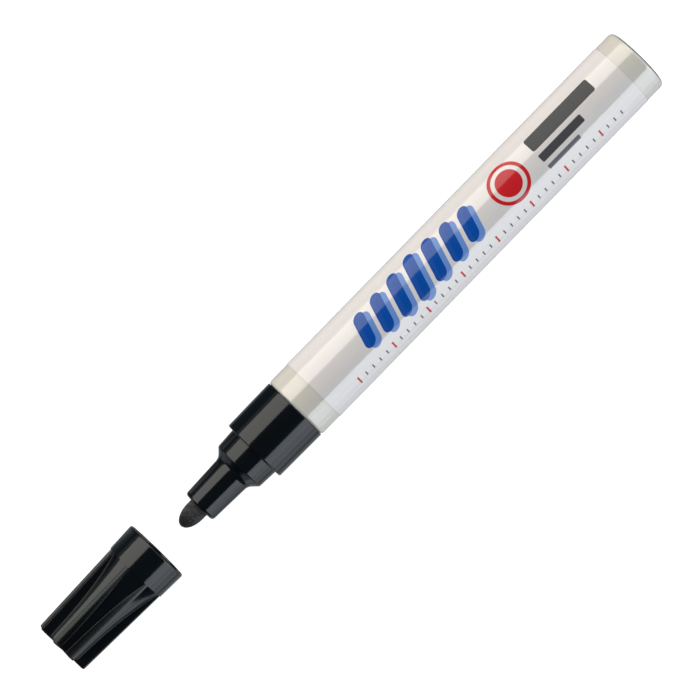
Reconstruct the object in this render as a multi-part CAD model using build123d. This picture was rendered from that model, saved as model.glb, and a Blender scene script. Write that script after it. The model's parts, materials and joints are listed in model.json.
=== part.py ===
from build123d import *
import os
from math import cos, pi, radians, sin, sqrt, tan

# Paint marker lying on its side, with its cap pulled off in front of the nib.
# Lengths run along X: the nib and the cap point to -X, the closed end of the barrel to +X.
# Places are counted from the barrel's front rim and are moved to the final frame when written:
# the middle of the whole length, on the surface that the marker lies on.

# Barrel: a drawn aluminium can whose mouth is rolled in over the spigot
barrel_diameter = 15.0
barrel_length = 100.0
barrel_wall = 0.45
barrel_end_wall = 0.7
barrel_end_round = 1.0
mouth_round = 0.75
mouth_lip = 0.6

# Label: a printed film that leaves a bare band at each end of the barrel
label_thickness = 0.08
label_front_margin = 5.3
label_rear_margin = 4.8

# Front section: collar, cap land, cone and nose in front of the rim
collar_length = 12.0
collar_inset = 0.04
collar_taper = 0.135
collar_round = 0.35
collar_rear_round = 0.12
land_length = 4.36
land_taper = 0.225
land_round = 0.45
cone_height = 1.705
cone_fillet = 2.0
nose_length = 9.94
nose_taper = 0.355
nose_round = 0.75
land_wall = 1.7
chamber_lead = 1.8

# Spigot of the front section, held behind the barrel's rolled lip
lip_clearance = 0.05
bead_length = 0.8
bead_lead = 0.7
bead_clearance = 0.05
spigot_clearance = 0.3
spigot_length = 6.6
spigot_round = 0.3
neck_wall = 1.2
seal_width = 1.5
seal_groove_depth = 0.6
seal_side_clearance = 0.05
seal_setback = 1.0
seal_round = 0.25

# Nib and the bore that guides it
nib_diameter = 4.5
nib_projection = 5.3
nib_tip_length = 4.1
nib_tail_chamfer = 0.4
nib_clearance = 0.06
nib_travel = 1.8
channel_count = 6
channel_radius = 0.35

# Valve behind the nib
valve_depth = 4.0
seat_thickness = 1.6
seat_gap = 0.5
stop_clearance = 0.2
pad_inset = 0.3
pad_thickness = 1.0
stem_diameter = 2.4
head_rim = 0.4
head_thickness = 1.2
head_round = 0.3
tail_diameter = 3.0
tail_clearance = 0.08
tail_overrun = 1.2
cage_wall = 0.9
cage_flange = 1.0
cage_flange_inset = 0.35
cage_tail = 7.0
cage_rear_wall = 1.0
window_count = 4
window_width = 2.6
window_length = 4.2
spring_wire = 0.45
spring_room = 0.35
spring_turns = 7
spring_end_clearance = 0.03

# Mixing ball, at rest on the floor of the barrel
ball_diameter = 7.0
ball_clearance = 0.1
ball_place = 62.0

# Cap: a plain mouth band, then a waisted core between ridges that keep the cap's own taper
cap_gap = 6.9
cap_length = 27.75
cap_mouth_inset = 0.025
cap_mouth_wall = 1.16
cap_mouth_round = 0.3
band_length = 6.3
band_taper = 0.2
cap_taper = 0.65
cap_end_round = 0.4
cap_end_wall = 1.85
cap_fit = 0.04
cap_shoulder_clearance = 0.15
flute_count = 8
flute_turn = -15.8
flute_lean = 40.0
flute_step = 0.15
ridge_width = 0.66
core_wall = 0.66
core_taper = 0.43
core_lead = 7.0
core_end_round = 0.7

# Inner cap: a stepped liner that tapers with the nose and shuts round it
liner_wall = 0.5
liner_fit = 0.05
liner_setback = 0.8
liner_lead = 0.3
liner_nib_room = 1.05
liner_end_wall = 0.8
nose_room = 0.55
cone_room = 0.2

# Radii that the pieces share
barrel_radius = barrel_diameter / 2
bore_radius = barrel_radius - barrel_wall
lip_radius = bore_radius - mouth_lip
label_radius = barrel_radius + label_thickness
collar_rear_radius = barrel_radius - collar_inset
collar_front_radius = collar_rear_radius - collar_taper
cap_mouth_radius = collar_front_radius - cap_mouth_inset
cap_mouth_bore_radius = cap_mouth_radius - cap_mouth_wall
land_rear_radius = cap_mouth_bore_radius - cap_fit
land_front_radius = land_rear_radius - land_taper
nose_rear_radius = land_front_radius - cone_height
nose_front_radius = nose_rear_radius - nose_taper
neck_radius = lip_radius - lip_clearance
spigot_radius = bore_radius - spigot_clearance
groove_radius = spigot_radius - seal_groove_depth
valve_bore_radius = neck_radius - neck_wall
chamber_radius = land_front_radius - land_wall
nib_radius = nib_diameter / 2
nib_bore_radius = nib_radius + nib_clearance
cage_radius = valve_bore_radius - cage_wall
stem_radius = stem_diameter / 2
seat_hole_radius = stem_radius + seat_gap
tail_radius = tail_diameter / 2
spring_radius = tail_radius + spring_room + spring_wire / 2
head_radius = spring_radius + spring_wire / 2 + head_rim
band_end_radius = cap_mouth_radius - band_taper
cap_end_radius = band_end_radius - cap_taper
liner_radius = nose_rear_radius + liner_fit + liner_wall
liner_tip_bore_radius = nib_radius + liner_nib_room
liner_tip_radius = liner_tip_bore_radius + liner_wall
core_end_radius = liner_tip_radius + core_wall

# Places along the axis, from the barrel's rim
collar_front = -collar_length
land_front = collar_front - land_length
cone_front = land_front - cone_height
nose_front = cone_front - nose_length
nib_tip = nose_front - nib_projection
seat_front = -valve_depth
seat_rear = seat_front + seat_thickness
pad_rear = seat_front - nib_travel - stop_clearance
nib_rear = pad_rear - pad_thickness
head_rear = seat_rear + head_thickness
flange_rear = spigot_length + cage_flange
cage_rear = flange_rear + cage_tail
spring_stop = cage_rear - cage_rear_wall
cap_mouth = nib_tip - cap_gap
cap_end = cap_mouth - cap_length

# Depths inside the cap, from its mouth, with the cap seated on the collar
land_depth = land_length - cap_shoulder_clearance
nose_depth = land_depth + cone_height + nose_length
mouth_depth = land_depth + land_front_radius - liner_radius + cone_room
liner_step = nose_depth + nose_room
liner_shoulder = liner_step + liner_wall
cap_bore_depth = cap_length - cap_end_wall

to_frame = Pos(-(barrel_length + cap_end) / 2, 0, label_radius)


def turned(*corners):
    """Solid of revolution about the axis. A corner is (along, radius) or (along, radius, rounding)."""
    points = [corner[:2] for corner in corners]
    roundings = [corner[2] if len(corner) > 2 else 0 for corner in corners]
    outline = FilletPolyline(*points, radius=roundings, close=True)
    return revolve(make_face(outline), Axis.X)


def around(shape, count, first_angle=0.0):
    """Copies of a shape spread evenly about the axis."""
    return [Rot(X=first_angle + 360.0 * i / count) * shape for i in range(count)]


def in_cap(depth):
    """Place along the axis of a depth inside the cap as it lies."""
    return cap_mouth - depth


def liner_outside(depth):
    """Outer radius of the liner round the nose, which it follows at a depth inside the seated cap."""
    past_cone = depth - land_depth - cone_height
    return liner_radius - past_cone * nose_taper / nose_length


def barrel():
    floor = barrel_length - barrel_end_wall
    return turned(
        (0, lip_radius),
        (0, barrel_radius, mouth_round),
        (barrel_length, barrel_radius, barrel_end_round),
        (barrel_length, 0),
        (floor, 0),
        (floor, bore_radius, barrel_end_round - barrel_wall),
        (barrel_wall, bore_radius, mouth_round - barrel_wall),
        (barrel_wall, lip_radius),
    )


def barrel_label():
    front = label_front_margin
    rear = barrel_length - label_rear_margin
    return turned(
        (front, barrel_radius),
        (front, label_radius),
        (rear, label_radius),
        (rear, barrel_radius),
    )


def front_section():
    bead_front = barrel_wall + lip_clearance
    bead_rear = bead_front + bead_length
    bead_radius = bore_radius - bead_clearance
    groove_front = bead_rear + bead_lead + seal_setback
    groove_rear = groove_front + seal_width + 2 * seal_side_clearance
    chamber_front = land_front + chamber_lead
    nose_front_wall = nose_front_radius - nib_bore_radius
    body = turned(
        (nose_front, nib_bore_radius),
        (nose_front, nose_front_radius, min(nose_round, nose_front_wall / 2)),
        (cone_front, nose_rear_radius, cone_fillet),
        (land_front, land_front_radius, land_round),
        (collar_front, land_rear_radius),
        (collar_front, collar_front_radius, collar_round),
        (0, collar_rear_radius, collar_rear_round),
        (0, neck_radius),
        (bead_front, neck_radius),
        (bead_front, bead_radius, mouth_round - barrel_wall),
        (bead_rear, bead_radius),
        (bead_rear + bead_lead, spigot_radius),
        (groove_front, spigot_radius),
        (groove_front, groove_radius),
        (groove_rear, groove_radius),
        (groove_rear, spigot_radius),
        (spigot_length, spigot_radius, spigot_round),
        (spigot_length, valve_bore_radius),
        (seat_front, valve_bore_radius),
        (seat_front, chamber_radius),
        (chamber_front, chamber_radius),
        (chamber_front - (chamber_radius - nib_bore_radius), nib_bore_radius),
    )
    channel_length = chamber_front - nose_front
    channel_axis = Plane(origin=(nose_front + channel_length / 2, 0, nib_bore_radius), z_dir=(1, 0, 0))
    channel = channel_axis * Cylinder(channel_radius, channel_length)
    return body - around(channel, channel_count)


def barrel_seal():
    front = barrel_wall + lip_clearance + bead_length + bead_lead + seal_setback + seal_side_clearance
    rear = front + seal_width
    return turned(
        (front, groove_radius, seal_round),
        (front, bore_radius, seal_round),
        (rear, bore_radius, seal_round),
        (rear, groove_radius, seal_round),
    )


def valve_seat():
    return turned(
        (seat_front, seat_hole_radius),
        (seat_front, valve_bore_radius),
        (seat_rear, valve_bore_radius),
        (seat_rear, seat_hole_radius),
    )


def valve_cage():
    flange_radius = spigot_radius - cage_flange_inset
    guide_radius = tail_radius + tail_clearance
    cup = turned(
        (seat_rear, cage_radius),
        (seat_rear, valve_bore_radius),
        (spigot_length, valve_bore_radius),
        (spigot_length, flange_radius),
        (flange_rear, flange_radius),
        (flange_rear, valve_bore_radius),
        (cage_rear, valve_bore_radius, spigot_round),
        (cage_rear, guide_radius),
        (spring_stop, guide_radius),
        (spring_stop, cage_radius),
    )
    window_place = (flange_rear + spring_stop) / 2
    cutter_radius = (cage_radius + valve_bore_radius) / 2
    window = Pos(window_place, 0, cutter_radius) * Box(window_length, window_width, 2 * cage_wall)
    return cup - around(window, window_count)


def valve_plunger():
    tail_end = cage_rear + tail_overrun
    pad_radius = nib_radius - pad_inset
    return turned(
        (nib_rear, 0),
        (nib_rear, pad_radius),
        (pad_rear, pad_radius),
        (pad_rear, stem_radius),
        (seat_rear, stem_radius),
        (seat_rear, head_radius),
        (head_rear, head_radius, head_round),
        (head_rear, tail_radius),
        (tail_end, tail_radius, head_round),
        (tail_end, 0),
    )


def spring_point(turn):
    """Point and direction on the spring's centre line after so many turns."""
    start = head_rear + spring_end_clearance + spring_wire / 2
    end = spring_stop - spring_end_clearance - spring_wire / 2
    pitch = (end - start) / spring_turns
    angle = 2 * pi * turn
    across = spring_radius * cos(angle)
    up = spring_radius * sin(angle)
    place = Vector(start + pitch * turn, across, up)
    run = Vector(pitch / (2 * pi), -up, across)
    return place, run.normalized()


def biarc(start, start_run, end, end_run):
    """Two arcs that join two points smoothly, with the given directions at both."""
    chord = end - start
    along = chord.dot(start_run + end_run)
    bend = 2 * (1 - start_run.dot(end_run))
    reach = (sqrt(along**2 + bend * chord.dot(chord)) - along) / bend
    middle = (start + end + (start_run - end_run) * reach) * 0.5
    middle_run = (chord - (start_run + end_run) * reach).normalized()
    first = TangentArc(start, middle, tangent=start_run)
    second = TangentArc(middle, end, tangent=middle_run)
    return [first, second]


def valve_spring():
    quarters = 4 * spring_turns
    arcs = []
    for i in range(quarters):
        arcs += biarc(*spring_point(i / 4), *spring_point((i + 1) / 4))
    start, start_run = spring_point(0)
    section = Plane(origin=start, z_dir=start_run) * Circle(spring_wire / 2)
    samples = [spring_point(i / 24)[0] for i in range(24 * spring_turns + 1)]
    nearest = min(
        (samples[i] - samples[j]).length
        for i in range(len(samples))
        for j in range(i + 12, len(samples))
    )
    print("spring: least gap between its turns", round(nearest - spring_wire, 3), "mm")
    return sweep(sections=section, path=Wire(arcs))


def nib():
    tip_start = nib_tip + nib_tip_length
    tip = EllipticalCenterArc((tip_start, 0), nib_tip_length, nib_radius, start_angle=90, arc_size=90)
    sides = Polyline(
        (tip_start, nib_radius),
        (nib_rear - nib_tail_chamfer, nib_radius),
        (nib_rear, nib_radius - nib_tail_chamfer),
        (nib_rear, 0),
        (nib_tip, 0),
    )
    return revolve(make_face([tip, sides]), Axis.X)


def mixing_ball():
    drop = bore_radius - ball_diameter / 2 - ball_clearance
    return Pos(ball_place, 0, -drop) * Sphere(ball_diameter / 2)


def flute_section(depth):
    """Wedge between two ridges, as the section of one flute's cutter at a depth from the cap's mouth."""
    share = (depth - band_length) / (cap_length - band_length)
    crest = band_end_radius - share * cap_taper
    half_turn = radians(180.0 / flute_count) - ridge_width / 2 / crest
    lean = tan(radians(flute_lean))
    bottom = crest * (cos(half_turn) - sin(half_turn) / lean)
    top = 2 * cap_mouth_radius
    half_top = (top - bottom) * lean
    x = in_cap(depth)
    return make_face(Polyline((x, 0, bottom), (x, half_top, top), (x, -half_top, top), close=True))


def cap_core():
    """Round core that the flutes run down to. It narrows fast behind the band and then slowly."""
    start = (in_cap(band_length), band_end_radius - flute_step)
    bend = (in_cap(band_length + core_lead), core_end_radius + core_taper)
    end = (cap_end, core_end_radius)
    floor = Bezier(start, bend, end)
    sides = Polyline(end, (cap_end, 0), (in_cap(band_length), 0), start)
    core = revolve(make_face([floor, sides]), Axis.X)
    return fillet(core.edges().group_by(Axis.X)[0], core_end_round)


def cap():
    body = turned(
        (in_cap(0), cap_mouth_bore_radius, cap_mouth_round),
        (in_cap(0), cap_mouth_radius, cap_mouth_round),
        (in_cap(band_length), band_end_radius),
        (cap_end, cap_end_radius, cap_end_round),
        (cap_end, 0),
        (in_cap(cap_bore_depth), 0),
        (in_cap(cap_bore_depth), liner_tip_radius),
        (in_cap(liner_shoulder), liner_tip_radius),
        (in_cap(liner_shoulder), liner_outside(liner_shoulder)),
        (in_cap(mouth_depth), liner_outside(mouth_depth)),
        (in_cap(mouth_depth), cap_mouth_bore_radius),
    )
    wedge = loft([flute_section(band_length), flute_section(cap_length + cap_end_round)], ruled=True)
    return body - around(wedge - cap_core(), flute_count, flute_turn + 180.0 / flute_count)


def inner_cap():
    mouth = mouth_depth + liner_setback
    lead_end = mouth + liner_lead
    floor = cap_bore_depth - liner_end_wall
    return turned(
        (in_cap(mouth), liner_outside(lead_end) - liner_wall + liner_lead),
        (in_cap(mouth), liner_outside(mouth)),
        (in_cap(liner_shoulder), liner_outside(liner_shoulder)),
        (in_cap(liner_shoulder), liner_tip_radius),
        (in_cap(cap_bore_depth), liner_tip_radius),
        (in_cap(cap_bore_depth), 0),
        (in_cap(floor), 0),
        (in_cap(floor), liner_tip_bore_radius),
        (in_cap(liner_step), liner_tip_bore_radius),
        (in_cap(liner_step), liner_outside(liner_step) - liner_wall),
        (in_cap(lead_end), liner_outside(lead_end) - liner_wall),
    )


pieces = [
    barrel,
    barrel_label,
    front_section,
    barrel_seal,
    valve_seat,
    valve_cage,
    valve_plunger,
    valve_spring,
    nib,
    mixing_ball,
    cap,
    inner_cap,
]

os.makedirs("parts", exist_ok=True)
for piece in pieces:
    export_step(to_frame * piece(), f"parts/{piece.__name__}.step")
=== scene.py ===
# %% [markdown]
# # A paint marker with its cap off
# The marker lies on a pale table: a drawn metal barrel with a printed film round it, a stepped black
# front with a fibre nib, and a fluted black cap that has been pulled off along the axis.
# The CAD model gives every piece its place and size. This script gives each piece its surface: smooth
# turned meshes, a fluted cap, a printed label, and finishes that catch the light as the real ones do.

# %% Load the CAD frame
import json
import math

import bmesh
import bpy
from mathutils import Matrix, Vector


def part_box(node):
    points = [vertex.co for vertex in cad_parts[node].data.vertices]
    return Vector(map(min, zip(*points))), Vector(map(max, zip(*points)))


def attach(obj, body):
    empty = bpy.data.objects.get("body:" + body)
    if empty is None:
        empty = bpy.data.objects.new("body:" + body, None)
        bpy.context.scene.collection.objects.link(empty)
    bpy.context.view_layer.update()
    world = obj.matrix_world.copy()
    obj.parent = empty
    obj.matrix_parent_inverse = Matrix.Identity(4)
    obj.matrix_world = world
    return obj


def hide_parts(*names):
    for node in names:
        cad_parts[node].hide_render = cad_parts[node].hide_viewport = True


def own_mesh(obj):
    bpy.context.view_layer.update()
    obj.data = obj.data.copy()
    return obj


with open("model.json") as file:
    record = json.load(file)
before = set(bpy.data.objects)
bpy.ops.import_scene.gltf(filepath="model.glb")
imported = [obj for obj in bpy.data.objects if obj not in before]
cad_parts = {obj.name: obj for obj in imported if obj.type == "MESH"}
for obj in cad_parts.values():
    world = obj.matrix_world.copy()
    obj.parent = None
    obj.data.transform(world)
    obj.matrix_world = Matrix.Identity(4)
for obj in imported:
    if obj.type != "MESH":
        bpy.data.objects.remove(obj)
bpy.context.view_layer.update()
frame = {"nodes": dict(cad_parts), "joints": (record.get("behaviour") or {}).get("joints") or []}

print("nodes:", sorted(frame["nodes"]))

# %% [markdown]
# ## Sizes
# All of the marker is round about one axis, along X. The CAD boxes give the ends and the largest radius
# of each piece, so only the steps between them are written here, in millimetres. Places along the axis
# are counted from the barrel's rim, with the nib on the negative side.

# %% Sizes from the frame
mm = 0.001
barrel_low, barrel_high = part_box("barrel")
rim = barrel_low.x
axis_height = (barrel_low.z + barrel_high.z) / 2


def along(node):
    """First and last place of a node on the axis, in millimetres from the barrel's rim."""
    low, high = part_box(node)
    return (low.x - rim) / mm, (high.x - rim) / mm


def widest(node):
    """Largest radius of a node across the axis, in millimetres."""
    low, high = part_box(node)
    return (high.z - low.z) / 2 / mm


barrel_length = along("barrel")[1]
barrel_radius = widest("barrel")
label_front, label_rear = along("barrel_label")
label_radius = widest("barrel_label")
nose_front, spigot_rear = along("front_section")
collar_radius = widest("front_section")
nib_tip, nib_rear = along("nib")
nib_radius = widest("nib")
cap_end, cap_mouth = along("cap")
print("barrel", round(barrel_length, 3), "mm long, radius", round(barrel_radius, 3), "mm")
print("cap from", round(cap_end, 3), "to", round(cap_mouth, 3), "mm")

# %% [markdown]
# ## Arithmetic that builds nodes
# A rule for a shape or a colour reads best as a formula. Node trees can be wired by hand, node by node,
# but that hides the formula. Here one small class stands for a socket: adding, scaling or comparing it
# puts a Math node in the tree, and its `node` method adds any other kind of node.


# %% A socket with arithmetic
def find_socket(sockets, key):
    """A socket by number, identifier or name, or None."""
    if isinstance(key, int):
        return sockets[key] if len(sockets) else None
    named = [s for s in sockets if s.identifier == key] + [s for s in sockets if s.name == key]
    return named[0]


class Flow:
    """A value that flows out of a socket in a node tree."""

    def __init__(self, tree, socket=None):
        self.tree = tree
        self.socket = socket

    def node(self, kind, settings, sockets, out=0):
        """Adds a node, sets it up, feeds its sockets and returns one of its outputs."""
        made = self.tree.nodes.new(kind)
        for name, value in settings.items():
            setattr(made, name, value)
        for key, value in sockets.items():
            socket = find_socket(made.inputs, key)
            if isinstance(value, Flow):
                self.tree.links.new(value.socket, socket)
            else:
                socket.default_value = value
        return Flow(self.tree, find_socket(made.outputs, out))

    def out(self, key):
        """Another output of the same node."""
        return Flow(self.tree, find_socket(self.socket.node.outputs, key))

    def split(self):
        """The X of a vector. Its Y and Z are other outputs of the same node."""
        return self.node("ShaderNodeSeparateXYZ", {}, {"Vector": self})

    def math(self, operation, *terms):
        return self.node("ShaderNodeMath", {"operation": operation}, dict(enumerate(terms)))

    def __add__(self, other):
        return self.math("ADD", self, other)

    def __sub__(self, other):
        return self.math("SUBTRACT", self, other)

    def __rsub__(self, other):
        return self.math("SUBTRACT", other, self)

    def __mul__(self, other):
        return self.math("MULTIPLY", self, other)

    def __truediv__(self, other):
        return self.math("DIVIDE", self, other)

    def __rtruediv__(self, other):
        return self.math("DIVIDE", other, self)

    def __mod__(self, other):
        return self.math("FLOORED_MODULO", self, other)

    def __gt__(self, other):
        return self.math("GREATER_THAN", self, other)

    def __lt__(self, other):
        return self.math("LESS_THAN", self, other)

    def __abs__(self):
        return self.math("ABSOLUTE", self)

    __radd__ = __add__
    __rmul__ = __mul__

    def floor(self):
        return self.math("FLOOR", self)

    def sine(self):
        return self.math("SINE", self)

    def cosine(self):
        return self.math("COSINE", self)

    def angle_from(self, other):
        """Angle of the point (other, self) from the first axis."""
        return self.math("ARCTAN2", self, other)

    def root(self):
        return self.math("SQRT", self.at_least(0.0))

    def at_least(self, other):
        return self.math("MAXIMUM", self, other)

    def at_most(self, other):
        return self.math("MINIMUM", self, other)

    def chosen(self, where_one, where_zero):
        """One value where this mask is 1, another where it is 0."""
        return self * where_one + (1 - self) * where_zero


print("arithmetic on sockets is ready")

# %% [markdown]
# ## Turned pieces
# Barrel, label, front, nib and cap are all turned: one outline carried round the axis. A Spin in mesh
# code would do for the plain ones, but the cap has flutes and the nose has channels that follow a rule
# round the axis. So a Geometry Nodes tree carries the outline round: it lays out a grid with a row for
# each point of the outline and a column for each step of the turn, and then moves every point of the
# grid by formula. Rounded corners get real arcs, because a small round is what catches the light.

# %% Outlines with rounded corners
arc_step = math.radians(12)
least_arc_steps = 3
support = 0.06


def rounded(corners):
    """Points of an outline from corners (along, radius) or (along, radius, rounding), in millimetres.
    A support point beside each arc keeps the smooth shading of the long wall next to it straight."""
    points = []
    for i, corner in enumerate(corners):
        here = Vector(corner[:2])
        rounding = corner[2] if len(corner) > 2 else 0
        if not rounding:
            points.append(here)
            continue
        back = (Vector(corners[i - 1][:2]) - here).normalized()
        ahead = (Vector(corners[(i + 1) % len(corners)][:2]) - here).normalized()
        half_corner = back.angle(ahead) / 2
        reach = rounding / math.tan(half_corner)
        centre = here + (back + ahead).normalized() * rounding / math.sin(half_corner)
        start = here + back * reach - centre
        turn = start.angle_signed(here + ahead * reach - centre)
        steps = max(least_arc_steps, math.ceil(abs(turn) / arc_step))
        points.append(here + back * (reach + support))
        for step in range(steps + 1):
            points.append(centre + Matrix.Rotation(-turn * step / steps, 2) @ start)
        points.append(here + ahead * (reach + support))
    return points


def outline_mesh(name, points, marks=None):
    """A mesh of the outline's points in order, with a number on each point for the rule to read."""
    mesh = bpy.data.meshes.new(name)
    places = [(rim + point[0] * mm, 0, point[1] * mm) for point in points]
    mesh.from_pydata(places, [(i, i + 1) for i in range(len(places) - 1)], [])
    mark = mesh.attributes.new("mark", "FLOAT", "POINT")
    mark.data.foreach_set("value", marks or [0.0] * len(places))
    return mesh


print("corners of an outline get arcs in steps of", round(math.degrees(arc_step)), "degrees")

# %% Opening and closing a tree
merge_distance = 0.0005


def new_tree(name, sizes):
    """A Geometry Nodes tree with a mesh in, a mesh out and named inputs for its sizes."""
    tree = bpy.data.node_groups.new(name, "GeometryNodeTree")
    tree.interface.new_socket("Geometry", in_out="INPUT", socket_type="NodeSocketGeometry")
    tree.interface.new_socket("Geometry", in_out="OUTPUT", socket_type="NodeSocketGeometry")
    for size in sizes:
        kind = {"Finish": "NodeSocketMaterial", "Segments": "NodeSocketInt"}.get(size, "NodeSocketFloat")
        tree.interface.new_socket(size, in_out="INPUT", socket_type=kind)
    return tree, Flow(tree).node("NodeGroupInput", {}, {})


def close_tree(mesh, sharp_angle, finish):
    """Ends a tree: joined seams, smooth shading with sharp corners, real geometry and its material."""
    joined = mesh.node(
        "GeometryNodeMergeByDistance", {}, {"Geometry": mesh, "Distance": merge_distance * mm}
    )
    smooth = mesh.node(
        "GeometryNodeSetShadeSmooth", {"domain": "FACE"}, {"Geometry": joined, "Shade Smooth": True}
    )
    bend = mesh.node("GeometryNodeInputMeshEdgeAngle", {}, {}, "Unsigned Angle")
    corners = mesh.node(
        "GeometryNodeSetShadeSmooth",
        {"domain": "EDGE"},
        {"Geometry": smooth, "Selection": bend > sharp_angle, "Shade Smooth": False},
    )
    real = mesh.node("GeometryNodeRealizeInstances", {}, {"Geometry": corners})
    dressed = mesh.node("GeometryNodeSetMaterial", {}, {"Geometry": real, "Material": finish})
    mesh.node("NodeGroupOutput", {}, {"Geometry": dressed})


print("seams of a mesh are joined within", merge_distance, "mm")


# %% A tree that carries an outline round the axis
def plain_turn(inlet, x, radius, mark, column):
    """Rule of a plain turned piece: even steps round the axis, at the outline's own radius."""
    return column / inlet.out("Segments") * (2 * math.pi), radius, 0.0


def turning_tree(name, rule, rule_sizes=()):
    """A tree that carries an outline round the axis. Its rule gives each point an angle, a radius and
    a satin share, which stays on the mesh for the finish to read."""
    tree, inlet = new_tree(name, ["Segments", "Axis height", "Sharp angle", "Finish", *rule_sizes])
    rows = inlet.node(
        "GeometryNodeAttributeDomainSize", {"component": "MESH"}, {"Geometry": inlet}, "Point Count"
    )
    columns = inlet.out("Segments") + 1
    grid = inlet.node("GeometryNodeMeshGrid", {}, {"Vertices X": rows, "Vertices Y": columns}, "Mesh")
    index = inlet.node("GeometryNodeInputIndex", {}, {})
    row = (index / columns).floor()
    column = index - row * columns
    position = inlet.node("GeometryNodeInputPosition", {}, {})
    place = inlet.node(
        "GeometryNodeSampleIndex",
        {"data_type": "FLOAT_VECTOR"},
        {"Geometry": inlet, "Value": position, "Index": row},
    )
    x = place.split()
    marks = inlet.node("GeometryNodeInputNamedAttribute", {"data_type": "FLOAT"}, {"Name": "mark"})
    mark = inlet.node("GeometryNodeSampleIndex", {}, {"Geometry": inlet, "Value": marks, "Index": row})
    angle, radius, satin = rule(inlet, x, x.out("Z"), mark, column)
    across = radius * angle.sine() * -1.0
    up = radius * angle.cosine() + inlet.out("Axis height")
    spot = inlet.node("ShaderNodeCombineXYZ", {}, {"X": x, "Y": across, "Z": up})
    carried = inlet.node("GeometryNodeSetPosition", {}, {"Geometry": grid, "Position": spot})
    kept = inlet.node(
        "GeometryNodeStoreNamedAttribute",
        {"data_type": "FLOAT", "domain": "POINT"},
        {"Geometry": carried, "Name": "satin", "Value": satin},
    )
    close_tree(kept, inlet.out("Sharp angle"), inlet.out("Finish"))
    return tree


plain_turning = turning_tree("plain turning", plain_turn)
print("plain turning:", len(plain_turning.nodes), "nodes")


# %% Running a tree and keeping its mesh
def facing_out(mesh):
    """Turns a closed mesh's faces outwards."""
    shape = bmesh.new()
    shape.from_mesh(mesh)
    if shape.calc_volume(signed=True) < 0:
        bmesh.ops.reverse_faces(shape, faces=shape.faces)
    shape.to_mesh(mesh)
    shape.free()


def grown(name, seed, tree, sizes):
    """Runs a tree on a seed mesh and keeps the result as a plain mesh at the origin."""
    piece = bpy.data.objects.new(name, seed)
    bpy.context.scene.collection.objects.link(piece)
    modifier = piece.modifiers.new("rule", "NODES")
    modifier.node_group = tree
    for item in tree.interface.items_tree:
        if item.in_out == "INPUT" and item.name in sizes:
            modifier[item.identifier] = sizes[item.name]
    graph = bpy.context.evaluated_depsgraph_get()
    mesh = bpy.data.meshes.new_from_object(
        piece.evaluated_get(graph), preserve_all_data_layers=True, depsgraph=graph
    )
    piece.modifiers.remove(modifier)
    piece.data = mesh
    mesh.name = name
    facing_out(mesh)
    print(name, len(mesh.polygons), "faces")
    return piece


turn_segments = 192
sharp_bend = 40


def turned(
    name,
    points,
    finish,
    tree=plain_turning,
    segments=turn_segments,
    sharp=sharp_bend,
    marks=None,
    **rule_sizes,
):
    """A turned piece from its outline, closed on itself where it doesn't end on the axis."""
    ring = points if points[-1][1] == 0 else points + points[:1]
    ring_marks = marks if marks is None or len(marks) == len(ring) else marks + marks[:1]
    sizes = {
        "Segments": segments,
        "Axis height": axis_height,
        "Sharp angle": math.radians(sharp),
        "Finish": finish,
        **rule_sizes,
    }
    return grown(name, outline_mesh(name + "_outline", ring, ring_marks), tree, sizes)


def settle(piece, body, node):
    """Puts a finished piece in the place of its CAD node."""
    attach(piece, body)
    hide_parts(node)


print("pieces are turned in", turn_segments, "steps, and bends over", sharp_bend, "degrees stay sharp")

# %% [markdown]
# ## Finishes
# Every finish is a Principled surface. What changes over the piece, such as grain, speckle or print,
# is worked out from Object coordinates, which are the CAD frame in metres. So a pattern stays on the
# piece when it moves, and no picture is needed.


# %% Helpers for finishes
def srgb(red, green, blue):
    """A colour in the usual 0 to 255 steps, as the linear numbers that a shader takes."""
    steps = [value / 255 for value in (red, green, blue)]
    return tuple(v / 12.92 if v <= 0.04045 else ((v + 0.055) / 1.055) ** 2.4 for v in steps) + (1.0,)


def new_finish(name):
    """An empty material and the flow of its Object coordinates."""
    material = bpy.data.materials.new(name)
    material.use_nodes = True
    material.node_tree.nodes.clear()
    return material, Flow(material.node_tree).node("ShaderNodeTexCoord", {}, {}, "Object")


def shade(material, sockets):
    """Ends a material in a Principled surface and returns it."""
    end = Flow(material.node_tree)
    surface = end.node("ShaderNodeBsdfPrincipled", {}, sockets)
    end.node("ShaderNodeOutputMaterial", {}, {"Surface": surface})
    return material


def noise(place, grain_mm, detail=2.0, stretch=(1.0, 1.0, 1.0)):
    """Noise with grains of about this size, drawn out along the axes by the stretch."""
    scale = [1 / (grain_mm * mm * s) for s in stretch]
    sized = place.node("ShaderNodeMapping", {"vector_type": "POINT"}, {"Vector": place, "Scale": scale})
    return place.node("ShaderNodeTexNoise", {}, {"Vector": sized, "Scale": 1.0, "Detail": detail}, "Fac")


def mix(share, first, second):
    """A colour between two, by share."""
    return share.node(
        "ShaderNodeMix",
        {"data_type": "RGBA", "clamp_factor": True},
        {"Factor_Float": share, "A_Color": first, "B_Color": second},
        "Result_Color",
    )


def bump(height, strength, distance_mm):
    """A normal that follows a height between 0 and 1."""
    return height.node(
        "ShaderNodeBump", {}, {"Height": height, "Strength": strength, "Distance": distance_mm * mm}
    )


def length(u, w):
    """Length of the step (u, w)."""
    return (u * u + w * w).root()


print("helpers for finishes are ready")

# %% [markdown]
# ### Black moulding
# The front section and the cap are glossy black plastic. A perfect gloss looks like glass, so the
# roughness wanders a little, as flow marks do, and a faint waviness bends the edge of a reflection.
# The cap's ridges and their walls are duller, as the eroded faces of a mould leave them.


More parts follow.
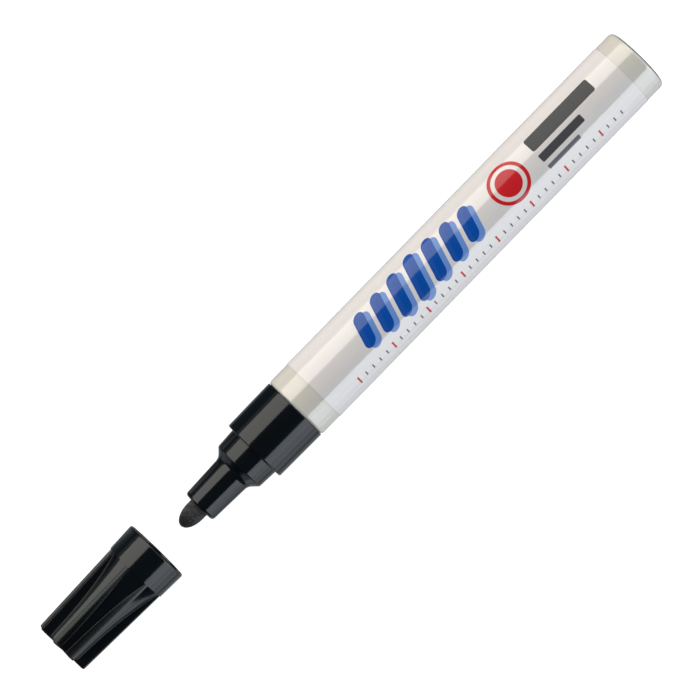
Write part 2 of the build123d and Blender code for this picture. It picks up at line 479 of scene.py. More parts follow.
# %% Black plastic
def black_plastic():
    """Glossy black with flow marks, a little dust and duller satin faces."""
    material, place = new_finish("black_plastic")
    flow_marks = noise(place, 2.5, stretch=(4.0, 1.0, 1.0))
    speckle = noise(place, 0.12, detail=1.0)
    waviness = noise(place, 1.6)
    satin = place.node("ShaderNodeAttribute", {"attribute_name": "satin"}, {}, "Fac")
    dust = (speckle > 0.72) * 0.35
    return shade(material, {
        "Base Color": mix(flow_marks * 0.5 + dust, srgb(6, 10, 14), srgb(15, 19, 23)),
        "Roughness": flow_marks * 0.06 + speckle * 0.04 + satin * 0.15 + 0.07,
        "Normal": bump(waviness, 0.05, 0.02),
        "IOR": 1.5,
    })


black = black_plastic()
print("black plastic:", len(black.node_tree.nodes), "nodes")

# %% [markdown]
# ## Front section
# The black front is one moulding: a collar flush with the barrel, a step down to the land that the cap
# sits on, a cone with a soft fillet, and a nose that guides the nib. Channels in the nose let air back
# to the paint; each is a half-round groove, so a rule pushes the bore's rows outwards there.

# %% Rule for the channels in the nose
channel_count = 6
channel_radius = 0.35
nib_clearance = 0.06
nib_bore = nib_radius + nib_clearance


def channelled_turn(inlet, x, radius, mark, column):
    """Marked rows swell round each channel: the far side of a small circle centred on the bore."""
    angle, radius, satin = plain_turn(inlet, x, radius, mark, column)
    pitch = 2 * math.pi / channel_count
    aside = (angle + pitch / 2) % pitch - pitch / 2
    across = radius * aside.sine()
    groove = inlet.out("Channel radius")
    swell = radius * aside.cosine() + (groove * groove - across * across).root()
    return angle, mark.chosen(swell.at_least(radius), radius), satin


channelled_turning = turning_tree("channelled turning", channelled_turn, ["Channel radius"])
print("channelled turning:", len(channelled_turning.nodes), "nodes")

# %% Sizes of the front section
collar_length = 12.0
collar_taper = 0.135
land_radius = 6.1
land_taper = 0.225
land_length = 4.36
cone_height = 1.705
nose_taper = 0.355
nose_round = 0.75
cone_fillet = 2.0
land_round = 0.45
step_round = 0.12
collar_round = 0.35
neck_radius = 6.4
neck_length = 0.5
bead_radius = 7.0
bead_length = 0.8
bead_lead = 0.7
spigot_radius = 6.75
spigot_round = 0.3
groove_radius = 6.15
groove_setback = 1.0
groove_width = 1.6
valve_bore = 5.2
chamber_radius = 4.175
seat_front = -4.0
chamber_lead = 1.8

land_front = -collar_length - land_length
cone_front = land_front - cone_height
chamber_front = land_front + chamber_lead
nose_length = cone_front - nose_front
nose_radius = land_radius - land_taper - cone_height
bead_rear = neck_length + bead_length
spigot_front = bead_rear + bead_lead
groove_front = spigot_front + groove_setback
groove_rear = groove_front + groove_width
print("nose", round(nose_length, 3), "mm long, radius", round(nose_radius, 3), "mm at the cone")

# %% Front moulding
front_corners = [
    (nose_front, nib_bore),
    (nose_front, nose_radius - nose_taper, nose_round),
    (cone_front, nose_radius, cone_fillet),
    (land_front, land_radius - land_taper, land_round),
    (-collar_length, land_radius, step_round),
    (-collar_length, collar_radius - collar_taper, collar_round),
    (0, collar_radius, step_round),
    (0, neck_radius),
    (neck_length, neck_radius),
    (neck_length, bead_radius, spigot_round),
    (bead_rear, bead_radius),
    (spigot_front, spigot_radius),
    (groove_front, spigot_radius),
    (groove_front, groove_radius),
    (groove_rear, groove_radius),
    (groove_rear, spigot_radius),
    (spigot_rear, spigot_radius, spigot_round),
    (spigot_rear, valve_bore),
    (seat_front, valve_bore),
    (seat_front, chamber_radius),
    (chamber_front, chamber_radius),
    (chamber_front - (chamber_radius - nib_bore), nib_bore),
]
front_points = rounded(front_corners)
front_marks = [1.0 if point[1] == nib_bore else 0.0 for point in front_points]
front = turned(
    "front_moulding",
    front_points,
    black,
    tree=channelled_turning,
    marks=front_marks,
    **{"Channel radius": channel_radius * mm},
)
settle(front, "marker_body", "front_section")

# %% [markdown]
# ## Cap
# The cap has a plain band at its mouth. Behind it the body narrows to a waisted core, and eight ridges
# keep the cap's own taper down to the closed end. Cutting eight wedges from a cone would leave ragged
# edges in mesh code. The tree writes the section instead, as four stretches for each flute: the top of
# a ridge, a wall down, the round core and a wall up. A wall is one side of a wedge whose bottom line
# sinks evenly, so its angle round the axis follows from the radius. Steps crowd at the ends of each
# stretch, so that smooth shading bends the light only near the edges.

# %% Rule for the flutes
flute_count = 8
ridge_steps = 4
wall_steps = 6
core_steps = 10
flute_steps = ridge_steps + 2 * wall_steps + core_steps
whole_fall = 0.999


def fluted_turn(inlet, x, radius, mark, column):
    """Rows with a core radius for a mark follow the ridged section. Rows with no mark are plain."""
    pitch = 2 * math.pi / flute_count
    flute = (column / flute_steps).floor()
    step = column - flute * flute_steps
    share = (x - inlet.out("Flute start")) / (inlet.out("Flute end") - inlet.out("Flute start"))
    first_bottom = inlet.out("Wedge bottom at the step")
    bottom = first_bottom + share * (inlet.out("Wedge bottom at the end") - first_bottom)
    lean = inlet.out("Wall lean")
    spread = lean * lean + 1

    def wall_turn(reach):
        """Angle from the middle of the flute at which a wall has this radius."""
        inner = spread * (reach * reach) - lean * lean * bottom * bottom
        height = (inner.root() - bottom) / spread
        return (height * lean).angle_from(bottom + height)

    def crowded(first, steps):
        """Share of a stretch that is done, with steps crowded at both ends."""
        done = ((step - first) / steps).at_least(0.0).at_most(1.0)
        return 0.5 - 0.5 * (done * math.pi).cosine()

    core = mark.at_most(radius)
    on_ridge = crowded(0, ridge_steps)
    down = crowded(ridge_steps, wall_steps)
    on_core = crowded(ridge_steps + wall_steps, core_steps)
    up = crowded(ridge_steps + wall_steps + core_steps, wall_steps)
    fall = down - up
    reach = radius + (core - radius) * fall
    half_ridge = pitch / 2 - wall_turn(radius)
    in_flute = pitch / 2 + wall_turn(reach) * (on_core * 2 - 1)
    turn = pitch * flute + in_flute - half_ridge * 2 * (1 - on_ridge)
    even = column / (flute_count * flute_steps) * (2 * math.pi)
    ridged = mark > 0.0
    angle = inlet.out("First ridge") + ridged.chosen(turn, even)
    off_core = ridged * (fall < whole_fall)
    return angle, ridged.chosen(reach, radius), off_core


flute_sizes = [
    "Flute start",
    "Flute end",
    "First ridge",
    "Wall lean",
    "Wedge bottom at the step",
    "Wedge bottom at the end",
]
fluted_turning = turning_tree("fluted turning", fluted_turn, flute_sizes)
print("fluted turning:", len(fluted_turning.nodes), "nodes")

# %% Sizes of the liner's seat in the cap
shoulder_clearance = 0.15
cone_room = 0.2
nose_room = 0.55
nib_room = 1.05
liner_wall = 0.5
liner_fit = 0.05
cap_end_wall = 1.85
cap_length = cap_mouth - cap_end
bore_depth = cap_length - cap_end_wall
liner_radius = nose_radius + liner_fit + liner_wall
liner_tip_bore = nib_radius + nib_room
liner_tip_radius = liner_tip_bore + liner_wall
land_depth = land_length - shoulder_clearance
cone_depth = land_depth + cone_height
mouth_depth = land_depth + land_radius - land_taper - liner_radius + cone_room
liner_step = cone_depth + nose_length + nose_room
liner_shoulder = liner_step + liner_wall


def in_cap(depth):
    """Place on the axis of a depth from the cap's mouth."""
    return cap_mouth - depth


def liner_outside(depth):
    """Radius of the liner's seat, which tapers with the nose."""
    return liner_radius - (depth - cone_depth) * nose_taper / nose_length


print("liner seat", round(liner_outside(mouth_depth), 3), "mm at its mouth, tip", liner_tip_radius, "mm")

# %% Sizes of the cap
cap_mouth_radius = 7.3
cap_fit = 0.04
cap_mouth_bore = land_radius + cap_fit
mouth_bore_round = 0.3
mouth_edge_round = 0.4
band_length = 6.3
band_end_radius = 7.1
crest_end_radius = 6.45
cap_end_round = 0.4
first_ridge = -15.8
ridge_width = 0.66
wall_lean_angle = 40
wall_lean = math.tan(math.radians(wall_lean_angle))
flute_step = 0.15
core_wall = 0.66
core_taper = 0.43
core_lead = 7.0
core_end_round = 0.7
core_start_radius = band_end_radius - flute_step
core_end_radius = liner_tip_radius + core_wall
core_bend_radius = core_end_radius + core_taper
flute_length = cap_length - band_length
flute_rows = 30
cap_sharp_bend = 72


def wedge_bottom(crest):
    """Bottom of the wedge between two ridges whose crests have this radius."""
    half_turn = math.pi / flute_count - ridge_width / 2 / crest
    return crest * (math.cos(half_turn) - math.sin(half_turn) / wall_lean)


def core_at(place):
    """Radius of the core: a curve with one bend, and a round at the closed end."""
    behind = min(in_cap(band_length) - place, flute_length)
    slack = flute_length - 2 * core_lead
    share = (math.sqrt(core_lead**2 + slack * behind) - core_lead) / slack
    start = core_start_radius * (1 - share) ** 2
    radius = start + 2 * core_bend_radius * share * (1 - share) + core_end_radius * share**2
    over = max(0.0, core_end_round - (place - cap_end))
    return radius - core_end_round + math.sqrt(max(0.0, core_end_round**2 - over**2))


print("core from radius", round(core_start_radius, 3), "to", round(core_end_radius, 3), "mm")

# %% Cap moulding
band = rounded([
    (in_cap(mouth_depth), cap_mouth_bore),
    (in_cap(0), cap_mouth_bore, mouth_bore_round),
    (in_cap(0), cap_mouth_radius, mouth_edge_round),
    (in_cap(band_length), band_end_radius),
])
slope = (crest_end_radius - band_end_radius) / flute_length
flute_depths = [(flute_length - core_end_round) * i / flute_rows for i in range(flute_rows + 1)]
flute_wall = [Vector((in_cap(band_length + d), band_end_radius + slope * d)) for d in flute_depths]
cap_end_points = rounded([flute_wall[-1], (cap_end, crest_end_radius, cap_end_round), (cap_end, 0)])[1:]
cap_inside = [
    Vector((in_cap(bore_depth), 0)),
    Vector((in_cap(bore_depth), liner_tip_radius)),
    Vector((in_cap(liner_shoulder), liner_tip_radius)),
    Vector((in_cap(liner_shoulder), liner_outside(liner_shoulder))),
    Vector((in_cap(mouth_depth), liner_outside(mouth_depth))),
]
fluted_part = flute_wall + cap_end_points[:-1]
centre = cap_end_points[-1:]
cap_points = band + fluted_part + centre + cap_inside
core_marks = [core_at(point[0]) * mm for point in fluted_part]
cap_marks = [0.0] * len(band) + core_marks + [0.0] * (1 + len(cap_inside))
cap = turned(
    "cap_moulding",
    cap_points,
    black,
    tree=fluted_turning,
    segments=flute_count * flute_steps,
    sharp=cap_sharp_bend,
    marks=cap_marks,
    **{
        "Flute start": rim + in_cap(band_length) * mm,
        "Flute end": rim + cap_end * mm,
        "First ridge": math.radians(first_ridge),
        "Wall lean": wall_lean,
        "Wedge bottom at the step": wedge_bottom(band_end_radius) * mm,
        "Wedge bottom at the end": wedge_bottom(crest_end_radius) * mm,
    },
)
settle(cap, "cap_unit", "cap")

# %% [markdown]
# ## Barrel
# The barrel is a drawn aluminium can with a pale satin lacquer. Drawing leaves very fine lines along
# the can, so its grain is a noise that is long along X and short across. The lacquer stops at the
# corner of the closed end. The end itself is bare metal with rings left by the tool that trued it, so
# the noise there follows the distance from the axis. Its corner turns darker and more metallic: the
# metal reflects the dim room there, and the darker tone is painted shade for the dark rear-edge line.


# %% Barrel finish
bare_corner = 0.3
barrel_end_round = 1.0
barrel_end_flat = barrel_radius - barrel_end_round


def barrel_metal():
    """Pale lacquer on drawn metal, bare at the closed end."""
    material, place = new_finish("barrel_metal")
    draw_lines = noise(place, 0.10, detail=3.0, stretch=(60.0, 1.0, 1.0))
    clouds = noise(place, 6.0)
    lacquer = mix(clouds * 0.5 + draw_lines * 0.3, srgb(215, 210, 200), srgb(203, 198, 188))
    x = place.split()
    from_end = barrel_length - (x - rim) / mm
    bare = (1.5 - from_end / bare_corner).at_least(0.0).at_most(1.0)
    from_axis = length(x.out("Y"), x.out("Z") - axis_height)
    rings = noise(place.node("ShaderNodeCombineXYZ", {}, {"X": from_axis}), 0.4, detail=3.0)
    turned_metal = mix(rings * 3.0 - 1.0, srgb(132, 132, 135), srgb(196, 196, 198))
    # The corner of the bare end turns darker and more metallic; the darker tone is painted shade for the
    # dark line along the rear edge.
    corner = ((from_axis / mm - barrel_end_flat) / bare_corner).at_least(0.0).at_most(1.0)
    bare_metal_and_edge_shade = mix(corner, turned_metal, srgb(142, 142, 146))
    return shade(material, {
        "Base Color": mix(bare, lacquer, bare_metal_and_edge_shade),
        "Metallic": bare * (corner * 0.4 + 0.5) + 0.06,
        "Roughness": draw_lines * 0.08 + 0.14 + bare * (rings * 0.2 + 0.12),
        "Normal": bump(bare.chosen(rings, draw_lines), 0.04, 0.02),
        "Coat Weight": 1 - bare,
        "Coat Roughness": 0.06,
    })


barrel_finish = barrel_metal()
print("barrel metal:", len(barrel_finish.node_tree.nodes), "nodes")

# %% Barrel tube
barrel_wall = 0.45
barrel_end_wall = 0.7
mouth_round = 0.75
mouth_lip = 0.6
barrel_bore = barrel_radius - barrel_wall
lip_radius = barrel_bore - mouth_lip
barrel_points = rounded([
    (barrel_length, 0),
    (barrel_length, barrel_radius, barrel_end_round),
    (0, barrel_radius, mouth_round),
    (0, lip_radius),
    (barrel_wall, lip_radius),
    (barrel_wall, barrel_bore, mouth_round - barrel_wall),
    (barrel_length - barrel_end_wall, barrel_bore, barrel_end_round - barrel_wall),
    (barrel_length - barrel_end_wall, 0),
])
barrel = turned("barrel_tube", barrel_points, barrel_finish)
settle(barrel, "marker_body", "barrel")

# %% [markdown]
# ## Label
# A thin printed film is wrapped round the barrel and leaves a bare band at each end. Its print is a
# plain design in blue, red, black and grey. It could be painted on a picture, but a formula stays sharp
# at any size: each motif is a distance in millimetres to a bar, a disc or a row of ticks, and the ink
# is where that distance is below zero. `u` runs along the film and `w` round it from the top line.


# %% Motifs of the print
ink_edge = 0.035


def ink(distance):
    """1 inside a motif and 0 outside, with a soft edge as printed ink has."""
    return distance.node(
        "ShaderNodeMath",
        {"operation": "MULTIPLY_ADD", "use_clamp": True},
        {0: distance, 1: -0.5 / ink_edge, 2: 0.5},
    )


def bar(u, w, middle, half_length, half_height, rounding):
    """Distance to a bar with rounded corners."""
    over_u = (abs(u - middle[0]) - (half_length - rounding)).at_least(0.0)
    over_w = (abs(w - middle[1]) - (half_height - rounding)).at_least(0.0)
    return length(over_u, over_w) - rounding


stroke_count = 7
stroke_pitch = 5.0
stroke_start = 13.0
stroke_lean = 0.32
stroke_width = 1.45
stroke_reach = 3.6
stroke_step = 0.45
stroke_middle = -1.2
stroke_shadow = 0.9


def strokes(u, w):
    """Distance to a row of leaning strokes, longest in the middle of the row."""
    leaning = u + w * stroke_lean - stroke_start
    number = (leaning / stroke_pitch).floor().at_least(0.0).at_most(stroke_count - 1.0)
    aside = leaning - (number + 0.5) * stroke_pitch
    reach = stroke_reach - abs(number - (stroke_count - 1) / 2) * stroke_step
    return length(aside, (abs(w - stroke_middle) - reach).at_least(0.0)) - stroke_width


tick_first = 8.0
tick_last = 84.0


def ticks(u, w, pitch, half_width, low, high):
    """Distance to a row of ticks across the film."""
    aside = abs((u - tick_first + pitch / 2) % pitch - pitch / 2) - half_width
    ends = abs(u - (tick_first + tick_last) / 2) - ((tick_last - tick_first) / 2 + half_width)
    reach = abs(w - (low + high) / 2) - (high - low) / 2
    return aside.at_least(ends).at_least(reach)


print(stroke_count, "strokes at", stroke_pitch, "mm, and ticks from", tick_first, "to", tick_last, "mm")

# %% Label finish
edge_shade_width = 0.14
disc_middle = (57.5, -1.0)
disc_radius = 2.9
ring_radius = 4.2
ring_half_width = 0.4


def label_film():
    """Pale film with print, and painted shade of the film's edge with some adhesive dirt at its ends."""
    material, place = new_finish("label_film")
    x = place.split()
    u = x / mm - (rim / mm + label_front)
    w = (x.out("Y") * -1.0).angle_from(x.out("Z") - axis_height) * label_radius
    blue = srgb(0, 72, 160)
    light_blue = srgb(100, 138, 205)
    red = srgb(196, 14, 26)
    black_ink = srgb(18, 20, 24)
    dark_grey = srgb(66, 66, 70)
    grey = srgb(104, 104, 110)
    from_disc = length(u - disc_middle[0], w - disc_middle[1])
    motifs = [
        (strokes(u - stroke_shadow, w - stroke_shadow), light_blue),
        (strokes(u, w), blue),
        (from_disc - disc_radius, red),
        (abs(from_disc - ring_radius) - ring_half_width, red),
        (bar(u, w, middle=(74.5, -3.4), half_length=9.0, half_height=1.7, rounding=0.5), black_ink),
        (bar(u, w, middle=(71.5, 0.3), half_length=6.0, half_height=0.9, rounding=0.3), dark_grey),
        (bar(u, w, middle=(70.0, 2.7), half_length=4.5, half_height=0.5, rounding=0.2), grey),
        (ticks(u, w, pitch=2.0, half_width=0.16, low=5.4, high=6.5), dark_grey),
        (ticks(u, w, pitch=10.0, half_width=0.22, low=5.0, high=7.0), red),
    ]
    fleck = noise(place, 0.09, detail=1.0)
    clouds = noise(place, 9.0)
    paper = mix(clouds * 0.6 + fleck * 0.3, srgb(228, 222, 220), srgb(219, 213, 211))
    from_edge = u.at_most(label_rear - label_front - u)
    # Near both ends of the film the colour turns darker: painted shade of the film's edge, and some dirt
    # on its adhesive.
    colour = mix(ink(from_edge - edge_shade_width) * 0.6, paper, srgb(178, 176, 172))
    masks = [ink(distance) for distance, tint in motifs]
    cover = masks[0]
    for mask, (distance, tint) in zip(masks, motifs):
        colour = mix(mask * (1.0 - fleck * 0.03), colour, tint)
        cover = cover.at_least(mask)
    return shade(material, {
        "Base Color": colour,
        "Metallic": (1 - cover) * 0.07,
        "Roughness": fleck * 0.06 + 0.13 + cover * 0.1,
        "Normal": bump(clouds + cover * 0.3, 0.03, 0.05),
        "Specular IOR Level": 0.1,
        "Coat Weight": 1 - cover * 0.25,
        "Coat Roughness": 0.06,
    })


film = label_film()
print("label film:", len(film.node_tree.nodes), "nodes")

# %% Label wrap
label_points = rounded([
    (label_front, barrel_radius),
    (label_front, label_radius),
    (label_rear, label_radius),
    (label_rear, barrel_radius),
])
label = turned("label_wrap", label_points, film)
settle(label, "marker_body", "barrel_label")

# %% [markdown]
# ## Nib
# The nib is a rod of pressed polyester fibre, ground to a bullet and soaked dark by the paint. Single
# fibres could be grown as hair, but they are finer than the picture shows. So a noise gives the rod its
# felted skin, drawn out along X as the fibres lie.


# %% Nib finish
wet_length = 3.2


def nib_fibre():
    """Felted fibre, darker towards the wet tip."""
    material, place = new_finish("nib_fibre")
    fibres = noise(place, 0.09, detail=4.0, stretch=(3.0, 1.0, 1.0))
    tufts = noise(place, 0.5, detail=3.0)
    x = place.split()
    wet = (1 - (x / mm - (rim / mm + nib_tip)) / wet_length).at_least(0.0)
    lint = (fibres * 0.6 + tufts * 0.9 - 0.45) * 1.8 - wet * 0.95
    return shade(material, {
        "Base Color": mix(lint, srgb(10, 10, 11), srgb(70, 70, 72)),
        "Roughness": 0.88 - fibres * 0.2,
        "Normal": bump(fibres + tufts * 0.6, 0.6, 0.09),
        "Specular IOR Level": 0.25,
        "Sheen Weight": 0.12,
        "Sheen Roughness": 0.5,
    })


fibre = nib_fibre()
print("nib fibre:", len(fibre.node_tree.nodes), "nodes")

# %% Nib bullet
nib_tip_length = 4.1
nib_tip_rows = 22
nib_chamfer = 0.4
slim_segments = 96
bullet = []
for row in range(nib_tip_rows + 1):
    lean = math.pi / 2 * row / nib_tip_rows
    bullet.append(Vector((nib_tip + nib_tip_length * (1 - math.cos(lean)), nib_radius * math.sin(lean))))
rod = [
    Vector((nib_rear - nib_chamfer, nib_radius)),
    Vector((nib_rear, nib_radius - nib_chamfer)),
    Vector((nib_rear, 0)),
]
nib = turned("nib_bullet", bullet + rod, fibre, segments=slim_segments)
settle(nib, "nib_unit", "nib")

# %% [markdown]
# ## Inner cap
# A thin stepped liner sits inside the cap and shuts round the nose. It only shows through the mouth, so
# a flat disc would do from most sides. But the mouth can be looked into from the rear, and a real bore
# darkens with its depth, so the liner is turned as the other pieces are.


# %% Liner finish and liner
def liner_plastic():
    """Dark matt plastic with a fine grain."""
    material, place = new_finish("liner_plastic")
    grain = noise(place, 0.2)
    clouds = noise(place, 3.0)
    return shade(material, {
        "Base Color": mix(clouds * 0.6 + grain * 0.3, srgb(34, 35, 37), srgb(58, 59, 61)),
        "Roughness": grain * 0.15 + 0.38,
        "Normal": bump(grain, 0.1, 0.02),
    })


liner_setback = 0.8
liner_mouth = mouth_depth + liner_setback
liner_lead = 0.3
liner_end_wall = 0.8


def liner_bore(depth):
    """Radius inside the liner, which tapers with its outside."""
    return liner_outside(depth) - liner_wall


lead_end = liner_mouth + liner_lead
liner_points = rounded([
    (in_cap(bore_depth), 0),
    (in_cap(bore_depth), liner_tip_radius),
    (in_cap(liner_shoulder), liner_tip_radius),
    (in_cap(liner_shoulder), liner_outside(liner_shoulder)),
    (in_cap(liner_mouth), liner_outside(liner_mouth)),
    (in_cap(liner_mouth), liner_bore(lead_end) + liner_lead),
    (in_cap(lead_end), liner_bore(lead_end)),
    (in_cap(liner_step), liner_bore(liner_step)),
    (in_cap(liner_step), liner_tip_bore),
    (in_cap(bore_depth - liner_end_wall), liner_tip_bore),
    (in_cap(bore_depth - liner_end_wall), 0),
])
liner = turned("cap_liner", liner_points, liner_plastic(), segments=slim_segments)
settle(liner, "cap_unit", "inner_cap")

# %% [markdown]
# ## Valve and ball
# Behind the nib a plunger, a coil spring, a cage and rubber seals make the valve, and a steel ball
# stirs the paint. They sit inside a closed barrel, so the CAD meshes stay and only get finishes. The
# spring is the exception: it shortens when the nib is pressed, so it is grown here, and the share of
# its length that it keeps when pressed is worked out.


# %% Finishes of the inner pieces
def moulded(name, light, dark, roughness):
    """A plain finish with a fine grain and a slow change of tone."""
    material, place = new_finish(name)
    grain = noise(place, 0.15)
    clouds = noise(place, 2.0)
    return shade(material, {
        "Base Color": mix(clouds * 0.7 + grain * 0.2, dark, light),
        "Roughness": grain * 0.15 + roughness,
        "Normal": bump(grain, 0.08, 0.02),
    })


def steel(name, roughness, stretch):
    """Drawn or polished steel with fine lines."""
    material, place = new_finish(name)
    lines = noise(place, 0.06, detail=3.0, stretch=stretch)
    return shade(material, {
        "Base Color": mix(lines, srgb(176, 176, 178), srgb(214, 214, 216)),
        "Metallic": 1.0,
        "Roughness": lines * 0.12 + roughness,
        "Normal": bump(lines, 0.05, 0.01),
    })


rubber = moulded("seal_rubber", srgb(40, 40, 42), srgb(24, 24, 26), 0.7)
natural = moulded("natural_plastic", srgb(232, 232, 226), srgb(214, 214, 206), 0.4)
spring_steel = steel("spring_steel", 0.25, (1.0, 6.0, 6.0))
ball_steel = steel("ball_steel", 0.1, (1.0, 1.0, 1.0))
inner_finishes = {
    "barrel_seal": rubber,
    "valve_seat": rubber,
    "valve_cage": natural,
    "valve_plunger": natural,
    "mixing_ball": ball_steel,
}
for node, finish in inner_finishes.items():
    materials = frame["nodes"][node].data.materials
    materials.clear()
    materials.append(finish)
print("finishes on", len(inner_finishes), "inner nodes")

# %% A tree for a coil
helix_steps = 40
wire_sides = 14
wire_sharp_bend = 60


def coil_tree():
    """A tree that sweeps a round wire along a helix about the axis."""
    sizes = ["Turns", "Coil radius", "Wire radius", "Length", "Start", "Axis height", "Finish"]
    tree, inlet = new_tree("coil", sizes)
    helix = inlet.node(
        "GeometryNodeCurveSpiral",
        {},
        {
            "Resolution": helix_steps,
            "Rotations": inlet.out("Turns"),
            "Start Radius": inlet.out("Coil radius"),
            "End Radius": inlet.out("Coil radius"),
            "Height": inlet.out("Length"),
        },
    )
    place = inlet.node("GeometryNodeInputPosition", {}, {})
    x = place.split()
    lying = place.node(
        "ShaderNodeCombineXYZ",
        {},
        {"X": x.out("Z") + inlet.out("Start"), "Y": x, "Z": x.out("Y") + inlet.out("Axis height")},
    )
    path = inlet.node("GeometryNodeSetPosition", {}, {"Geometry": helix, "Position": lying})
    section = inlet.node(
        "GeometryNodeCurvePrimitiveCircle",
        {},
        {"Resolution": wire_sides, "Radius": inlet.out("Wire radius")},
    )
    wire = inlet.node(
        "GeometryNodeCurveToMesh", {}, {"Curve": path, "Profile Curve": section, "Fill Caps": True}
    )
    close_tree(wire, math.radians(wire_sharp_bend), inlet.out("Finish"))
    return tree


coil = coil_tree()
print("coil:", len(coil.nodes), "nodes")

# %% Spring coil
spring_turns = 7
spring_wire = 0.45
spring_low, spring_high = along("valve_spring")
spring_radius = widest("valve_spring") - spring_wire / 2
spring_size = {
    "Turns": float(spring_turns),
    "Coil radius": spring_radius * mm,
    "Wire radius": spring_wire / 2 * mm,
    "Length": (spring_high - spring_low - spring_wire) * mm,
    "Start": rim + (spring_low + spring_wire / 2) * mm,
    "Axis height": axis_height,
    "Finish": spring_steel,
}
spring = grown("spring_coil", bpy.data.meshes.new("spring_seed"), coil, spring_size)
settle(spring, "marker_body", "valve_spring")
nib_travel = next(joint for joint in frame["joints"] if joint["name"] == "nib_press")["range_m"][1]
kept_share = 1 - nib_travel / ((spring_high - spring_low) * mm)
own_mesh(spring)
print("spring keeps", round(kept_share, 3), "of its length when the nib is pressed")

# %% [markdown]
# ## Table, light and camera
# Black plastic shows what it reflects. Two long softboxes, a warm one on the left and a cool one on the
# right, give it two clean stripes with dark between them, and they light the pale barrel from both
# sides. The warm one has a dim strip along its lower edge. The cool one is in four parts, brighter
# above and behind the rim. The room above stays dim. A white table would show in the lower half of
# every black piece as one flat sheet, so the table is left out of reflections, and four dim panels
# stand for its glow: a near one, a far one, one on the left and one in front of the nose. A small card
# on the left lifts the edge of the nose. A panel behind gives the edges that face the rear a thin line
# of light, and is seen only in reflections. A warm fill does the opposite: it lights the pale pieces
# and leaves no stripe.
#
# The camera looks down from about a metre through a long lens, so that the barrel hardly tapers.

# %% Table
table_size = 4.0
white = (1.0, 1.0, 1.0, 1.0)


def table_finish():
    """A table with a glow of its own, so that shadows stay faint."""
    material, place = new_finish("table")
    clouds = noise(place, 40.0)
    return shade(material, {
        "Base Color": mix(clouds, srgb(138, 138, 138), srgb(134, 134, 134)),
        "Roughness": 0.9,
        "Emission Color": white,
        "Emission Strength": 0.95,
    })


table_mesh = bpy.data.meshes.new("table")
half = table_size / 2
table_corners = [(-half, -half, 0), (half, -half, 0), (half, half, 0), (-half, half, 0)]
table_mesh.from_pydata(table_corners, [], [(0, 1, 2, 3)])
table_mesh.materials.append(table_finish())
table = bpy.data.objects.new("table", table_mesh)
bpy.context.scene.collection.objects.link(table)
table.visible_glossy = False
print("table", table_size, "m square")


# %% Soft panels
watts_per_area = 4.0
room_reach = 0.6


def panel(name, middle, heading, first, last, across, strength, colour, diffuse=True, glossy=True):
    """A soft panel that faces the axis from a middle point, from first to last along its heading."""
    toward = Vector((0, 0, axis_height)) - middle
    back = -(toward - heading * toward.dot(heading)).normalized()
    data = bpy.data.lights.new(name, "AREA")
    data.shape = "RECTANGLE"
    data.size = last - first
    data.size_y = across
    data.color = colour
    data.energy = strength * watts_per_area * data.size * data.size_y
    light = bpy.data.objects.new(name, data)
    turn = Matrix((heading, back.cross(heading), back)).transposed()
    light.matrix_world = Matrix.Translation(middle + heading * (first + last) / 2) @ turn.to_4x4()
    light.visible_camera = False
    light.visible_diffuse = diffuse
    light.visible_glossy = glossy
    bpy.context.scene.collection.objects.link(light)
    print(name, "at", [round(v, 3) for v in light.location], "with", round(data.energy, 1), "W")


def softbox(name, first_angle, last_angle, first_x, last_x, strength, colour, glossy=True):
    """A panel along X that fills these angles from straight up, as seen from the marker."""
    middle = math.radians((first_angle + last_angle) / 2)
    out = Vector((0, -math.sin(middle), math.cos(middle)))
    across = 2 * room_reach * math.tan(math.radians(last_angle - first_angle) / 2)
    place = Vector((0, 0, axis_height)) + out * room_reach
    panel(name, place, Vector((1, 0, 0)), first_x, last_x, across, strength, colour, glossy=glossy)


print("softboxes stand", room_reach, "m from the axis")

# %% Lights
room_start = -0.8
room_end = 0.9
box_start = -0.26
card_start = -0.1
card_end = -0.073
rear_gain = 1.2
warm_white = (1.0, 0.975, 0.92)
cool_white = (0.92, 0.96, 1.0)
cool_blue = (0.86, 0.93, 1.0)
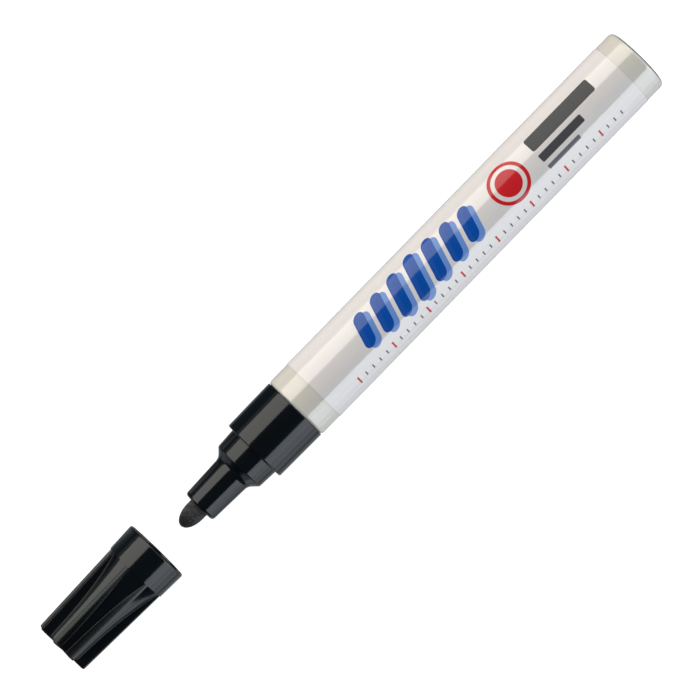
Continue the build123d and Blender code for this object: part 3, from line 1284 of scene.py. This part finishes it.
# First and last angle, first and last place along X, strength and colour
softbox("warm_softbox", -76.5, -25.6, room_start, room_end, 1.8, warm_white)
softbox("warm_edge", -90, -76.5, room_start, room_end, 0.16, warm_white)
softbox("warm_fill", -88, -60, room_start, room_end, 0.34, warm_white, glossy=False)
for name, first_x, last_x, gain in [("front", box_start, rim, 1.0), ("rear", rim, room_end, rear_gain)]:
    softbox("cool_upper_" + name, 44.5, 72, first_x, last_x, 1.78 * gain, cool_blue)
    softbox("cool_lower_" + name, 72, 94, first_x, last_x, 1.4 * gain, cool_blue)
softbox("near_table", 94.5, 116, box_start, room_end, 0.82, cool_white)
softbox("far_table", 116, 170, room_start, room_end, 0.3, cool_white)
softbox("left_table", -178, -142, room_start, room_end, 0.2, cool_white)
softbox("left_card", -142, -103, card_start, card_end, 0.34, cool_white)
front_middle = Vector((-room_reach, 0, -0.25))
rear_middle = Vector((1.0, 0, 0.4))
sideways = Vector((0, 1, 0))
panel("front_table", front_middle, sideways, -0.6, 0.6, 0.4, 0.3, cool_white)
panel("rear_wall", rear_middle, sideways, -1.2, 1.2, 1.6, 0.55, cool_white, diffuse=False)

# %% Room
world = bpy.data.worlds.new("room")
bpy.context.scene.world = world
world.use_nodes = True
world.node_tree.nodes.clear()
room = Flow(world.node_tree)
seen = room.node("ShaderNodeLightPath", {}, {}, "Is Camera Ray")
dim_blue = (0.6, 0.85, 1.0, 1.0)
dim = room.node("ShaderNodeBackground", {}, {"Color": dim_blue, "Strength": 0.05})
pale = room.node("ShaderNodeBackground", {}, {"Color": white, "Strength": 0.95})
sky = room.node("ShaderNodeMixShader", {}, {0: seen, 1: dim, 2: pale})
room.node("ShaderNodeOutputWorld", {}, {"Surface": sky})
bpy.context.scene.view_settings.view_transform = "Standard"
print("room: dim above, pale where the camera looks past the table")

# %% Camera
camera_turn = math.radians(45.68)
camera_lens = 243.45
camera_over = -17.86 * mm
camera_aim = 0.34 * mm
camera_aside = 0.37 * mm
camera_height = 0.964

camera_data = bpy.data.cameras.new("camera")
camera_data.sensor_width = 36.0
camera_data.lens = camera_lens
camera_data.clip_start = 0.01
camera = bpy.data.objects.new("camera", camera_data)
bpy.context.scene.collection.objects.link(camera)
camera_spot = Vector((camera_over, camera_aside, axis_height + camera_height))
camera_back = (camera_spot - Vector((camera_aim, camera_aside, axis_height))).normalized()
picture_right = Vector((math.cos(camera_turn), -math.sin(camera_turn), 0))
picture_right = (picture_right - camera_back * picture_right.dot(camera_back)).normalized()
picture_up = camera_back.cross(picture_right)
camera_axes = Matrix((picture_right, picture_up, camera_back)).transposed()
camera.matrix_world = Matrix.Translation(camera_spot) @ camera_axes.to_4x4()
bpy.context.scene.camera = camera
print("camera", round(camera_height, 3), "m above the axis")
